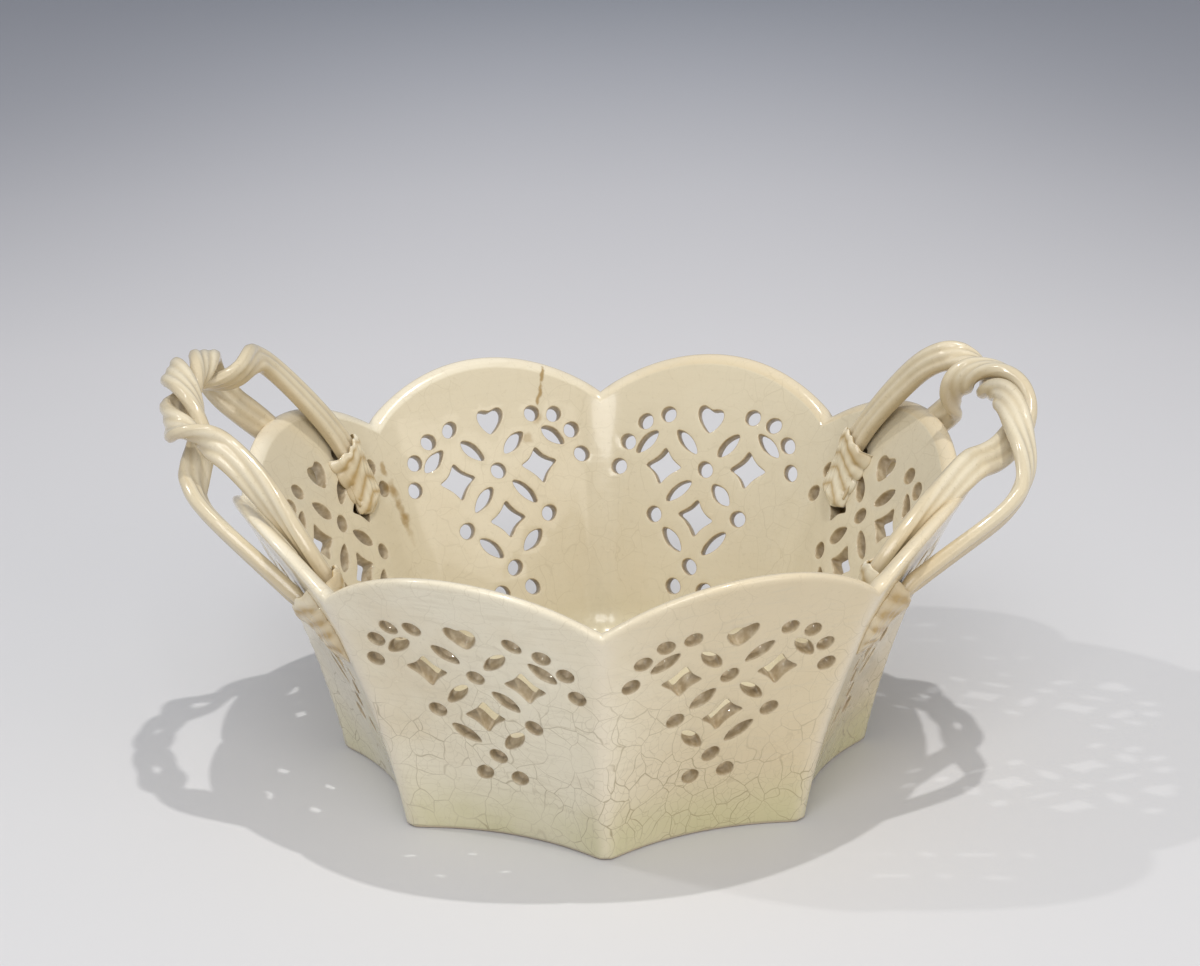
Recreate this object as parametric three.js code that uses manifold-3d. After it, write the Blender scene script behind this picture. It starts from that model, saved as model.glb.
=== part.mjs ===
// Pierced two-handled basket in cream-glazed earthenware.
// Millimetres, +Z up. The origin is the middle of the flat underside. -Y is the front, and the
// handles stand over -X and +X. The body is eight-sided with an arris facing the front.
import * as THREE from 'three';
import Module from 'manifold-3d';
import { mergeVertices } from 'three/addons/utils/BufferGeometryUtils.js';

const wasm = await Module();
wasm.setup();

// Body
const PANELS = 8;
const FOOT_RADIUS = 71; // centre to an arris, on the ground
const RIM_RADIUS = 95; // centre to an arris, at the rim
const ARRIS_BOW = 2.9; // how far an arris curves in from a straight line, at half height
const NOTCH_HEIGHT = 69.5; // rim height at an arris
const LOBE_RISE = 12; // how much higher the rim is at the middle of a panel
const PANEL_HOLLOW = 5.6; // how far a panel curves in between its arrises, at the foot
const PANEL_CROWN = 2; // how far it swells out between them, at the rim
const ARRIS_RADIUS = 3;
const WALL = 4.6; // horizontal thickness
const FLOOR = 5;
const COVE = 7; // rounding where the floor meets the wall inside
const FOOT_BEVEL = 0.8;

// Pierced pattern: one diagonal lattice on each panel
const LATTICE = 12.7; // half the spacing of the dots along a row
const LATTICE_HEIGHT = 51; // height of the dot at the middle
const FAN_RADIUS = 13.3; // quarter ring of dots round each side diamond
const PATTERN_SLOPE = 0.06; // the rows drop this much per millimetre to the right
const DOT_RADIUS = 2.2;
const PETAL_LENGTH = 9.2;
const PETAL_WIDTH = 3.6;
const DIAMOND_SPAN = 9;
const DIAMOND_WAIST = 1.5; // how near the middle the bend of each hollow side is drawn
const HEART_WIDTH = 8;
const HEART_HEIGHT = 8.2;
const TRIO_DROP = 6; // from the lowest lattice dot down to the pair under it
const TRIO_WIDTH = 9.4;

// Handles. Each is set by eye on the bench, so the two differ a little.
const STRAP_WIDTH = 8.2;
const STRAP_THICKNESS = 4.2;
const REED_DEPTH = 0.4;
const HANDLE_REACH = 12; // how far a crown stands out beyond the rim radius
const HANDLE_SPAN = 60; // front to back, between the ends of the wound part
const HANDLE_RISE = 34; // how high the taller crown stands above the notches
const STRAP_SPREAD = 7.4; // from the handle's own line to each strap, where the two are apart
// Reach, y and rise are shares of the first three lengths. Ahead is how far in front of the front
// station the winding starts, as a share of the span. Lift and roll are in degrees.
const HANDLES = [
  {
    name: 'left',
    side: -1,
    ahead: 0.055,
    front: { reach: 0.375, y: -0.5, rise: 0.68, lift: 52, innerRoll: -45, outerRoll: 45 },
    crown: { reach: 1, y: 0.083, rise: 1 },
    back: { reach: 0.04, y: 0.483, rise: 0.744, lift: 92, innerRoll: 40, outerRoll: 0 },
  },
  {
    name: 'right',
    side: 1,
    ahead: 0,
    front: { reach: 0.333, y: -0.467, rise: 0.412, lift: 34, innerRoll: -40, outerRoll: 30 },
    crown: { reach: 0.96, y: 0.033, rise: 0.78 },
    back: { reach: -0.083, y: 0.467, rise: 0.662, lift: 82, innerRoll: 10, outerRoll: 0 },
  },
];
const TIGHT_SHARE = 0.55; // share of the run to each side that is wound tight
const TWIST_TURNS = 1.5;
const TWIST_DELAY = 0.75; // the winding lags behind the run over the crown and catches up at the back
const STRAP_RINGS = 64;
const BEND_PASSES = 3; // rounds the arches where a strap leaves the wound part
const FRONT_ROOT = 10; // strap ends, across the side panel from the front arris
const BACK_ROOT = 18; // and from the back one
const ROOT_DEPTH = 15; // how far below the notch height a strap ends
const OUTER_ROOT = { top: 4, slant: 0.8 }; // how far below the notch height it leaves the wall
const INNER_ROOT = { top: -2, slant: 0.2 }; // slant is millimetres across for each one up
const SEAT = 0.75; // slip between a strap or leaf and the wall

// Leaf sprigs over the strap ends
const LEAF_LENGTH = 18;
const LEAF_WIDTH = 17;
const LEAF_THICKNESS = 2;
const LEAF_BELOW_ROOT = 3; // top of the leaf below the place where the strap leaves the wall
const LEAF_FLARE = 1.5; // how far its top edge curls away from the strap

const CLEARANCE = 0.3; // glaze-thick gap between pieces that are stuck together

const HALF_PANEL = Math.PI / PANELS;

const smooth = (x, low, high) => THREE.MathUtils.smoothstep(x, low, high);

// Radius of an arris at a height: a straight flare with a shallow inward bow.
function arrisRadius(z) {
  const t = z / NOTCH_HEIGHT;
  return FOOT_RADIUS + (RIM_RADIUS - FOOT_RADIUS) * t - 4 * ARRIS_BOW * t * (1 - t);
}

// Depth of a panel's hollow at a height. It fades and turns into a slight swelling at the rim.
function panelHollow(z) {
  return PANEL_HOLLOW - (PANEL_HOLLOW + PANEL_CROWN) * (z / NOTCH_HEIGHT);
}

// Rim height across a panel, s running from -1 to 1 between its arrises.
function rimHeight(s) {
  return NOTCH_HEIGHT + LOBE_RISE * (1 - s * s);
}

// Point of the wall: panel number, s across it, height, and distance in from the outer face.
// Panel 0 is the one just right of the front arris, and the numbers go round through +X.
function wallPoint(panel, s, z, inset = 0) {
  const radius = arrisRadius(z) - inset;
  const half = radius * Math.sin(HALF_PANEL);
  const hollow = panelHollow(z);
  const lean = HALF_PANEL + Math.atan((2 * hollow) / half);
  const corner = ARRIS_RADIUS * (1 / Math.cos(lean) - 1);
  const near = Math.max(0, (Math.abs(s) - 0.9) / 0.1);
  const out = radius * Math.cos(HALF_PANEL) - hollow * (1 - s * s) - corner * near * near;
  const angle = (2 * panel + 1) * HALF_PANEL;
  const across = s * half;
  return new THREE.Vector3(
    out * Math.sin(angle) + across * Math.cos(angle),
    -out * Math.cos(angle) + across * Math.sin(angle),
    z,
  );
}

// Outward unit normal of the wall at the same kind of place.
function wallNormal(panel, s, z, inset = 0) {
  const step = 0.02;
  const across = wallPoint(panel, s + step, z, inset).sub(wallPoint(panel, s - step, z, inset));
  const up = wallPoint(panel, s, z + 1, inset).sub(wallPoint(panel, s, z - 1, inset));
  return across.cross(up).normalize();
}

// Closed solid through a row of rings with equal, even point counts. Each end is closed straight
// across, first point to last and so on, which also suits a ring that is bent into an arch.
function loft(rings) {
  const count = rings[0].length;
  const positions = rings.flat().flatMap((p) => [p.x, p.y, p.z]);
  const index = [];
  for (let row = 0; row < rings.length - 1; row += 1) {
    for (let i = 0; i < count; i += 1) {
      const a = row * count + i;
      const b = row * count + ((i + 1) % count);
      index.push(a, b, b + count, a, b + count, a + count);
    }
  }
  const last = (rings.length - 1) * count;
  for (let i = 0; i < count / 2 - 1; i += 1) {
    const j = count - 1 - i;
    index.push(i, j - 1, i + 1, i, j, j - 1);
    index.push(last + i, last + i + 1, last + j - 1, last + i, last + j - 1, last + j);
  }
  const geometry = new THREE.BufferGeometry();
  geometry.setAttribute('position', new THREE.Float32BufferAttribute(positions, 3));
  geometry.setIndex(index);
  return geometry;
}

// A closed geometry as a solid for joins and cuts, whichever way its faces wind.
function solid(geometry) {
  const bare = geometry.clone();
  bare.deleteAttribute('normal');
  bare.deleteAttribute('uv');
  const merged = mergeVertices(bare, 1e-4);
  const vertProperties = new Float32Array(merged.attributes.position.array);
  const triVerts = new Uint32Array(merged.index.array);
  if (signedVolume(vertProperties, triVerts) < 0) {
    for (let i = 0; i < triVerts.length; i += 3) {
      [triVerts[i], triVerts[i + 1]] = [triVerts[i + 1], triVerts[i]];
    }
  }
  return new wasm.Manifold(new wasm.Mesh({ numProp: 3, vertProperties, triVerts }));
}

function signedVolume(points, triangles) {
  const corner = (k) => new THREE.Vector3().fromArray(points, 3 * triangles[k]);
  let total = 0;
  for (let i = 0; i < triangles.length; i += 3) {
    total += corner(i).dot(corner(i + 1).cross(corner(i + 2))) / 6;
  }
  return total;
}

// Coplanar faces are joined first, which clears the spare points that a cut leaves behind.
function geometryOf(manifold) {
  const mesh = manifold.asOriginal().simplify(0.02).getMesh();
  const geometry = new THREE.BufferGeometry();
  geometry.setAttribute('position', new THREE.Float32BufferAttribute(mesh.vertProperties, 3));
  geometry.setIndex(new THREE.BufferAttribute(new Uint32Array(mesh.triVerts), 1));
  return geometry;
}

// The pressed shell before piercing. Rings run from the underside up the outer face, over the
// rounded lip and down the inner face to the floor. grow makes every face stand proud.
function shell(grow = 0) {
  const stations = [-1, -0.9, -0.5, 0, 0.5, 0.9];
  const ring = (heightAt, inset) => {
    const points = [];
    for (let panel = 0; panel < PANELS; panel += 1) {
      for (const s of stations) points.push(wallPoint(panel, s, heightAt(s), inset));
    }
    return points;
  };
  const lip = (WALL + 2 * grow) / 2;
  const outerTop = (s) => rimHeight(s) + grow - lip;
  const rings = [
    ring(() => -grow, FOOT_BEVEL - grow),
    ring(() => FOOT_BEVEL, -grow),
  ];
  for (const share of [0.25, 0.5, 0.75, 1]) {
    rings.push(ring((s) => outerTop(s) * share, -grow));
  }
  for (const turn of [0.25, 0.5, 0.75]) {
    const angle = Math.PI * turn;
    const inset = lip * (1 - Math.cos(angle)) - grow;
    rings.push(ring((s) => outerTop(s) + lip * Math.sin(angle), inset));
  }
  const coveTop = FLOOR + grow + COVE;
  for (const share of [1, 0.65, 0.32, 0]) {
    rings.push(ring((s) => coveTop + (outerTop(s) - coveTop) * share, WALL + grow));
  }
  rings.push(ring(() => FLOOR + grow + COVE * 0.3, WALL + grow + COVE * 0.3));
  rings.push(ring(() => FLOOR + grow, WALL + grow + COVE));
  return solid(loft(rings));
}

// Openings, each drawn round its own middle with +Y up the panel. facets is per curve.
function dotHole() {
  return { shape: new THREE.Shape().absarc(0, 0, DOT_RADIUS, 0, 2 * Math.PI), facets: 4 };
}

function petalHole() {
  const half = PETAL_LENGTH / 2;
  const shape = new THREE.Shape()
    .moveTo(0, -half)
    .quadraticCurveTo(PETAL_WIDTH, 0, 0, half)
    .quadraticCurveTo(-PETAL_WIDTH, 0, 0, -half);
  return { shape, facets: 3 };
}

function diamondHole() {
  const half = DIAMOND_SPAN / 2;
  const shape = new THREE.Shape()
    .moveTo(0, half)
    .quadraticCurveTo(-DIAMOND_WAIST, DIAMOND_WAIST, -half, 0)
    .quadraticCurveTo(-DIAMOND_WAIST, -DIAMOND_WAIST, 0, -half)
    .quadraticCurveTo(DIAMOND_WAIST, -DIAMOND_WAIST, half, 0)
    .quadraticCurveTo(DIAMOND_WAIST, DIAMOND_WAIST, 0, half);
  return { shape, facets: 2 };
}

function heartHole() {
  const w = HEART_WIDTH / 2;
  const h = HEART_HEIGHT / 2;
  const shape = new THREE.Shape()
    .moveTo(0, -h)
    .quadraticCurveTo(w, -0.2 * h, w, 0.45 * h)
    .quadraticCurveTo(0.85 * w, 1.25 * h, 0, 0.6 * h)
    .quadraticCurveTo(-0.85 * w, 1.25 * h, -w, 0.45 * h)
    .quadraticCurveTo(-w, -0.2 * h, 0, -h);
  return { shape, facets: 3 };
}

// One panel's openings as { hole, u, v, turn }: millimetres across and up from the middle dot.
function patternOpenings() {
  const dot = dotHole();
  const petal = petalHole();
  const diamond = diamondHole();
  const leanOut = Math.PI / 4;
  const openings = [
    { hole: dot, u: 0, v: 0 },
    { hole: dot, u: 0, v: -2 * LATTICE },
    { hole: diamond, u: 0, v: -LATTICE },
    { hole: heartHole(), u: 0, v: LATTICE },
  ];
  for (const side of [-1, 1]) {
    openings.push(
      { hole: dot, u: side * LATTICE, v: -LATTICE },
      { hole: dot, u: (side * TRIO_WIDTH) / 2, v: -2 * LATTICE - TRIO_DROP },
      { hole: diamond, u: side * LATTICE, v: 0 },
      { hole: petal, u: (side * LATTICE) / 2, v: LATTICE / 2, turn: -side * leanOut },
      { hole: petal, u: (side * LATTICE) / 2, v: -LATTICE / 2, turn: side * leanOut },
      { hole: petal, u: (side * LATTICE) / 2, v: -1.5 * LATTICE, turn: -side * leanOut },
      { hole: petal, u: side * 1.45 * LATTICE, v: LATTICE / 2, turn: side * leanOut },
    );
    for (const step of [0, 1, 2, 3]) {
      const angle = (step * Math.PI) / 6;
      openings.push({
        hole: dot,
        u: side * (LATTICE + FAN_RADIUS * Math.sin(angle)),
        v: FAN_RADIUS * Math.cos(angle),
      });
    }
  }
  return openings;
}

// A cutter stands square to the wall at its own spot and passes right through it.
function cutter(panel, { hole, u, v, turn = 0 }) {
  const z = LATTICE_HEIGHT + v - PATTERN_SLOPE * u;
  const s = u / (arrisRadius(z) * Math.sin(HALF_PANEL));
  const normal = wallNormal(panel, s, z);
  const across = wallPoint(panel, s + 0.02, z).sub(wallPoint(panel, s - 0.02, z)).normalize();
  const up = new THREE.Vector3().crossVectors(normal, across);
  const options = { depth: 3 * WALL, bevelEnabled: false, curveSegments: hole.facets };
  const bit = new THREE.ExtrudeGeometry(hole.shape, options);
  bit.rotateZ(turn);
  bit.translate(0, 0, -2 * WALL);
  const stand = new THREE.Matrix4().makeBasis(across, up, normal).setPosition(wallPoint(panel, s, z));
  bit.applyMatrix4(stand);
  return solid(bit);
}

function piercedBody() {
  let openings = null;
  for (let panel = 0; panel < PANELS; panel += 1) {
    for (const opening of patternOpenings()) {
      const bit = cutter(panel, opening);
      openings = openings ? openings.add(bit) : bit;
    }
  }
  return shell().subtract(openings);
}

// Reeded section of a strap: three reeds on each broad face, as [across, thick] pairs.
function strapSection() {
  const halfWidth = STRAP_WIDTH / 2;
  const halfThick = STRAP_THICKNESS / 2;
  const reed = (x) => halfThick - REED_DEPTH * (1 - Math.abs(Math.cos(1.5 * Math.PI * x)));
  const face = [-2 / 3, -1 / 3, 0, 1 / 3, 2 / 3];
  return [
    [-halfWidth, 0],
    ...face.map((x) => [x * halfWidth, -reed(x)]),
    [halfWidth, 0],
    ...face.map((x) => [-x * halfWidth, reed(x)]),
  ];
}

// Where a strap or its leaf lies on the wall at a height: side panel, place across it, and face.
// end is -1 for the front and 1 for the back. Going up, a strap slants away from the arris.
function rootPlace({ side }, end, inside, z) {
  const panel = (PANELS - 1) / 2 - side * (PANELS / 4 - end / 2);
  const fromArris = end < 0 ? FRONT_ROOT : BACK_ROOT;
  const { slant } = inside ? INNER_ROOT : OUTER_ROOT;
  const across = fromArris + slant * (z - NOTCH_HEIGHT + ROOT_DEPTH);
  const s = 1 - across / (RIM_RADIUS * Math.sin(HALF_PANEL));
  return { panel, s: side * end * s };
}

// Height at which a strap leaves the wall
function rootTop(inside) {
  return NOTCH_HEIGHT - (inside ? INNER_ROOT : OUTER_ROOT).top;
}

// Centre line of a handle from the front root over the crown to the back root
function handleLine(handle) {
  const { side, front, crown, back } = handle;
  const root = (end) => {
    const { panel, s } = rootPlace(handle, end, true, NOTCH_HEIGHT);
    return wallPoint(panel, s, NOTCH_HEIGHT, WALL / 2);
  };
  const stations = [front, crown, back].map(({ reach, y, rise }) => (
    new THREE.Vector3(
      side * (RIM_RADIUS + reach * HANDLE_REACH),
      y * HANDLE_SPAN,
      NOTCH_HEIGHT + rise * HANDLE_RISE,
    )
  ));
  return new THREE.CatmullRomCurve3([root(-1), ...stations, root(1)]);
}

// Place and broad-face direction of a strap where it is luted to the wall, inside or outside
function footKey(handle, end, inside, z) {
  const { panel, s } = rootPlace(handle, end, inside, z);
  const offset = STRAP_THICKNESS / 2 + SEAT;
  const inset = inside ? WALL : 0;
  const normal = wallNormal(panel, s, z, inset);
  const at = wallPoint(panel, s, z, inset).addScaledVector(normal, inside ? -offset : offset);
  return { at, thin: normal.multiplyScalar(end) };
}

// Keys along one strap. The pair turn about the centre line, always over from the inner side
// on the left handle and over from the outer side on the right one, as one pair of hands wound
// them. strap is 1 for the strap that starts inside the basket at the front, and -1 for its mate.
function strapKeys(handle, strap) {
  const { side, front, back } = handle;
  const line = handleLine(handle);
  const startsInside = strap > 0;
  const foot = (end, inside) => [0, 0.5, 1].map((share) => {
    const z = THREE.MathUtils.lerp(NOTCH_HEIGHT - ROOT_DEPTH, rootTop(inside), share);
    return footKey(handle, end, inside, z);
  });
  const keys = foot(-1, startsInside);
  const steps = 24;
  for (let i = 0; i <= steps; i += 1) {
    const u = 0.22 + (0.56 * i) / steps;
    const at = line.getPoint(u);
    const along = line.getTangent(u);
    const inward = new THREE.Vector3(along.y, -along.x, 0).multiplyScalar(-side).normalize();
    const up = new THREE.Vector3().crossVectors(along, inward).multiplyScalar(side).normalize();
    const start = front.y - handle.ahead;
    const share = THREE.MathUtils.clamp((at.y / HANDLE_SPAN - start) / (back.y - start), 0, 1);
    const wound = share - TWIST_DELAY * share * share * (1 - share);
    const turned = -side * wound * TWIST_TURNS * 2 * Math.PI;
    const lift = THREE.MathUtils.degToRad(THREE.MathUtils.lerp(front.lift, back.lift, share));
    const near = share < 0.5 ? front : back;
    const apart = smooth(Math.abs(2 * share - 1), TIGHT_SHARE, 1);
    const tight = STRAP_THICKNESS / 2 + 4.5 * CLEARANCE;
    const reach = strap * THREE.MathUtils.lerp(tight, STRAP_SPREAD, apart);
    const spoke = (angle) => (
      inward.clone().multiplyScalar(Math.cos(angle)).addScaledVector(up, Math.sin(angle))
    );
    const inside = startsInside === share < 0.5;
    const roll = THREE.MathUtils.degToRad(inside ? near.innerRoll : near.outerRoll);
    keys.push({
      at: at.addScaledVector(spoke(turned + lift), reach),
      thin: spoke(turned + THREE.MathUtils.lerp(lift, roll, apart)),
    });
  }
  return keys.concat(foot(1, !startsInside).reverse());
}

// The keys at even steps of length, with sharp bends eased: each pass moves a key between its
// neighbours. The straight ends on the wall stay put.
function easedKeys(keys) {
  const path = new THREE.CatmullRomCurve3(keys.map((key) => key.at));
  const facing = new THREE.CatmullRomCurve3(keys.map((key) => key.thin));
  path.arcLengthDivisions = 600;
  const even = [];
  for (let i = 0; i <= STRAP_RINGS; i += 1) {
    const t = path.getUtoTmapping(i / STRAP_RINGS);
    even.push({ at: path.getPoint(t), thin: facing.getPoint(t) });
  }
  const fixed = Math.ceil((ROOT_DEPTH * STRAP_RINGS) / path.getLength());
  for (let pass = 0; pass < BEND_PASSES; pass += 1) {
    const was = even.map((key) => key.at.clone());
    for (let i = fixed; i <= STRAP_RINGS - fixed; i += 1) {
      even[i].at.add(was[i - 1].clone().add(was[i + 1]).multiplyScalar(0.5)).multiplyScalar(0.5);
    }
  }
  return even;
}

// A strap's solid: its section carried along the keys, broad faces square to the thin direction.
function strapSolid(handle, strap) {
  const keys = easedKeys(strapKeys(handle, strap));
  const path = new THREE.CatmullRomCurve3(keys.map((key) => key.at));
  const section = strapSection();
  const rings = keys.map(({ at, thin }, i) => {
    const along = path.getTangent(i / STRAP_RINGS);
    thin.addScaledVector(along, -thin.dot(along)).normalize();
    const across = new THREE.Vector3().crossVectors(along, thin);
    return section.map(([x, y]) => at.clone().addScaledVector(across, x).addScaledVector(thin, y));
  });
  return solid(loft(rings));
}

// A toothed leaf pressed over the end of a strap. Each ring across it is an arch that stands on
// the wall by its two edges. The arch is tall enough for the strap until the strap has ended, and
// from there the leaf lies down on the wall and draws to a point.
function leafSolid(handle, end, inside) {
  const { side } = handle;
  const top = rootTop(inside) - LEAF_BELOW_ROOT;
  const lean = Math.atan((inside ? INNER_ROOT : OUTER_ROOT).slant);
  const inset = inside ? WALL : 0;
  const outward = inside ? -1 : 1;
  const strapEnd = ((top - NOTCH_HEIGHT + ROOT_DEPTH) / Math.cos(lean) + 2 * CLEARANCE) / LEAF_LENGTH;
  const rows = 9;
  const rings = [];
  for (let row = 0; row <= rows; row += 1) {
    const down = row / rows;
    const tooth = row % 2 === 1 ? 1 : 0.9;
    const past = Math.max(0, (down - strapEnd) / (1 - strapEnd));
    const halfWidth = (LEAF_WIDTH / 2) * tooth * (1 - 0.92 * past ** 1.6);
    const middle = top - LEAF_LENGTH * Math.cos(lean) * down;
    const { panel, s } = rootPlace(handle, end, inside, middle);
    const curl = LEAF_FLARE * Math.max(0, 1 - (2 * down) / strapEnd) ** 2;
    const cover = (STRAP_THICKNESS + 3 * CLEARANCE + curl) * (1 - smooth(past, 0, 1));
    const crest = cover + LEAF_THICKNESS * (1 - 0.5 * down);
    const arch = [
      [-1, 0.6], [-0.75, 0.75 * crest], [0, crest], [0.75, 0.75 * crest], [1, 0.6],
      [0.85, 0], [0.6, cover], [0, cover], [-0.6, cover], [-0.85, 0],
    ];
    rings.push(arch.map(([x, height]) => {
      const z = middle + side * end * Math.sin(lean) * x * halfWidth;
      const reach = s + (Math.cos(lean) * x * halfWidth) / (RIM_RADIUS * Math.sin(HALF_PANEL));
      const normal = wallNormal(panel, reach, z, inset);
      return wallPoint(panel, reach, z, inset).addScaledVector(normal, outward * (height + SEAT));
    }));
  }
  return solid(loft(rings));
}

function piece(name, manifold, colour, roughness) {
  const geometry = geometryOf(manifold);
  const material = new THREE.MeshStandardMaterial({ color: colour, roughness, metalness: 0 });
  const mesh = new THREE.Mesh(geometry, material);
  mesh.name = name;
  return mesh;
}

const GLAZE = 0xd3c9ab;
const STRAP_GLAZE = 0xd6cbb0;
const LEAF_GLAZE = 0xcfc3a2;

const basket = new THREE.Group();
basket.add(piece('basket_body', piercedBody(), GLAZE, 0.18));

const grownShell = shell(1.5 * CLEARANCE);
for (const handle of HANDLES) {
  for (const [strap, strapName] of [[1, 'front'], [-1, 'back']]) {
    const body = strapSolid(handle, strap).subtract(grownShell);
    basket.add(piece(`${handle.name}_handle_${strapName}_strap`, body, STRAP_GLAZE, 0.16));
  }
  for (const [end, endName] of [[-1, 'front'], [1, 'back']]) {
    for (const [inside, placeName] of [[true, 'inner'], [false, 'outer']]) {
      const leaf = leafSolid(handle, end, inside);
      basket.add(piece(`${handle.name}_${endName}_${placeName}_leaf`, leaf, LEAF_GLAZE, 0.2));
    }
  }
}

export default basket;
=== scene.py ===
"""Pierced basket in cream-glazed earthenware, with a pair of entwined strap handles.

The object stands on its foot at the origin, in metres, +Z up, with -Y as its front. Shapes are worked
out in millimetres and turned to metres when a mesh is made.
"""

import bpy
import numpy as np
from mathutils import Matrix, Vector, geometry


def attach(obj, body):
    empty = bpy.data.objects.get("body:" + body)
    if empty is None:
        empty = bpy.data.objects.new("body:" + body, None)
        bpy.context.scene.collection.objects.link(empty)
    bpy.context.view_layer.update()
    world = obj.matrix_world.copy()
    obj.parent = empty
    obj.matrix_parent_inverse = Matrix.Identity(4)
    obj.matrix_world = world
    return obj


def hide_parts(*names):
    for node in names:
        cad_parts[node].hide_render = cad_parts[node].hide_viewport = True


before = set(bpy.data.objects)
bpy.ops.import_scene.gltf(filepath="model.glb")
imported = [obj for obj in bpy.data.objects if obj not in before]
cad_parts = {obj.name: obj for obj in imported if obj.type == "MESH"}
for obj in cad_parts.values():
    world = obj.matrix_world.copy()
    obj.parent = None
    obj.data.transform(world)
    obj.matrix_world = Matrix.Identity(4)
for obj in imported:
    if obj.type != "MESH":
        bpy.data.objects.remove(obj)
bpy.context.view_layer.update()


# The body. One press-moulded shell of buff earthenware with eight hollow panels, a scalloped rim and a
# flat floor. The openings are cut through by hand while the clay is leather-hard, and a cream lead
# glaze, crazed all over and greenish at the foot, rounds every cut edge.
PANELS = 8
FOOT_RADIUS = 71.0  # centre to an arris, on the ground
RIM_RADIUS = 95.0  # centre to an arris, at the rim
ARRIS_BOW = 2.9  # how far an arris curves in from a straight line, at half height
NOTCH_HEIGHT = 69.5  # rim height at an arris
LOBE_RISE = 12.0  # how much higher the rim is at the middle of a panel
PANEL_HOLLOW = 5.6  # how far a panel curves in between its arrises, at the foot
PANEL_CROWN = 2.0  # how far it swells out between them, at the rim
WALL = 4.6  # horizontal thickness
FLOOR = 5.0
COVE = 7.0  # rounding where the floor meets the wall inside
FOOT_BEVEL = 1.0
ARRIS_ROUNDING = 2.6  # how far to each side its rounding reaches, outside
VALLEY_ROUNDING = 8.0  # and inside
HALF_PANEL = np.pi / PANELS
PANEL_REACH = 36.0  # about half a panel's width


def arris_radius(z):
    """Straight flare from foot to rim, less a parabola that bows it inwards at half height."""
    t = z / NOTCH_HEIGHT
    return FOOT_RADIUS + (RIM_RADIUS - FOOT_RADIUS) * t - 4 * ARRIS_BOW * t * (1 - t)


def rim_height(s):
    """Notch height at the arrises, plus a parabola that lifts the middle of each panel."""
    return NOTCH_HEIGHT + LOBE_RISE * (1 - s * s)


def wall_point(panel, s, z, inset):
    """A panel is a chord between two arrises, pulled in by a parabola across it. Near an arris it
    drops by a second parabola, whose slope at the arris is square to the line through the centre."""
    s, z, inset = np.broadcast_arrays(s, z, inset)
    radius = arris_radius(z) - inset
    half = radius * np.sin(HALF_PANEL)
    hollow = PANEL_HOLLOW - (PANEL_HOLLOW + PANEL_CROWN) * z / NOTCH_HEIGHT
    slope = np.tan(HALF_PANEL + np.arctan(2 * hollow / half))
    rounding = ARRIS_ROUNDING + (VALLEY_ROUNDING - ARRIS_ROUNDING) * np.clip(inset / WALL, 0, 1)
    near = np.clip(rounding - half * (1 - np.abs(s)), 0, None)
    drop = slope * near**2 / (2 * rounding)
    out = radius * np.cos(HALF_PANEL) - hollow * (1 - s * s) - drop
    across = half * s - np.sign(s) * drop * np.tan(HALF_PANEL)
    angle = (2 * np.asarray(panel) + 1) * HALF_PANEL
    x = out * np.sin(angle) + across * np.cos(angle)
    y = -out * np.cos(angle) + across * np.sin(angle)
    return np.stack([x, y, z], -1)


def unit(vectors):
    return vectors / np.linalg.norm(vectors, axis=-1, keepdims=True)


def wall_normal(panel, s, z, inset):
    """Unit cross product of short steps across and up the wall."""
    aside, rise = 0.02, 1.0
    across = wall_point(panel, s + aside, z, inset) - wall_point(panel, s - aside, z, inset)
    up = wall_point(panel, s, z + rise, inset) - wall_point(panel, s, z - rise, inset)
    return unit(np.cross(across, up))


DRIFT_ACROSS = ((0.012, 5.3, 2.4), (0.008, 2.9, 1.7))  # share of half a panel, millimetres a radian, lag
DRIFT_UP = ((0.4, 7, 1.9), (0.22, 15, 4.1))  # millimetres, radians over half a panel, lag
DRIFT_FOOT = (12, 6)  # it begins at this height and is full this much higher
DRIFT_RIM = (4, 8)  # it ends this far below the rim and is full this much lower


def hand_drift(panel, s, z):
    """The cutter's hand: two sine waves per panel slide the pattern by part of a millimetre. They
    fade out at the arrises, at the foot and at the rim."""
    over_foot = np.clip((z - DRIFT_FOOT[0]) / DRIFT_FOOT[1], 0, 1)
    under_rim = np.clip((rim_height(s) - DRIFT_RIM[0] - z) / DRIFT_RIM[1], 0, 1)
    fade = (1 - s**4) * over_foot * under_rim
    side = sum(size * np.sin(z / wave + lag * panel) for size, wave, lag in DRIFT_ACROSS)
    rise = sum(size * np.sin(wave * s + lag * panel) for size, wave, lag in DRIFT_UP)
    return s + fade * side, z + fade * rise


LATTICE = 12.7  # half the spacing of the dots along a row
LATTICE_HEIGHT = 51.0  # height of the dot at the middle
FAN_RADIUS = 13.3  # quarter ring of dots round each side diamond
FAN_DOTS = 4
WING_PETAL = 1.45  # lattice steps from the middle to the outer petals
PATTERN_SLOPE = 0.06  # the rows drop this much per millimetre to the right
DOT_RADIUS = 2.2
PETAL_LENGTH = 9.2
PETAL_WIDTH = 3.6
DIAMOND_SPAN = 11.0
DIAMOND_WAIST = 1.5  # how near the middle each hollow side is drawn
HEART_WIDTH = 8.0
HEART_HEIGHT = 8.2
TRIO_DROP = 6.0  # from the lowest lattice dot down to the pair under it
TRIO_WIDTH = 9.4
CUT_EDGE = 0.45  # radius of the glaze's rounding at a cut
BEND_STEPS = 24  # points on each curve before they are spaced evenly
SOFTENING = 2  # passes of the three-point mean
PETAL_TIP = 0.25  # what those passes take off a tip
DIAMOND_TIP = 0.4
DOT_POINTS, PETAL_POINTS, DIAMOND_POINTS, HEART_POINTS = 20, 24, 32, 30


def softened(points):
    """Three-point mean along a row that goes round."""
    return (np.roll(points, 1, 0) + 2 * points + np.roll(points, -1, 0)) / 4


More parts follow.
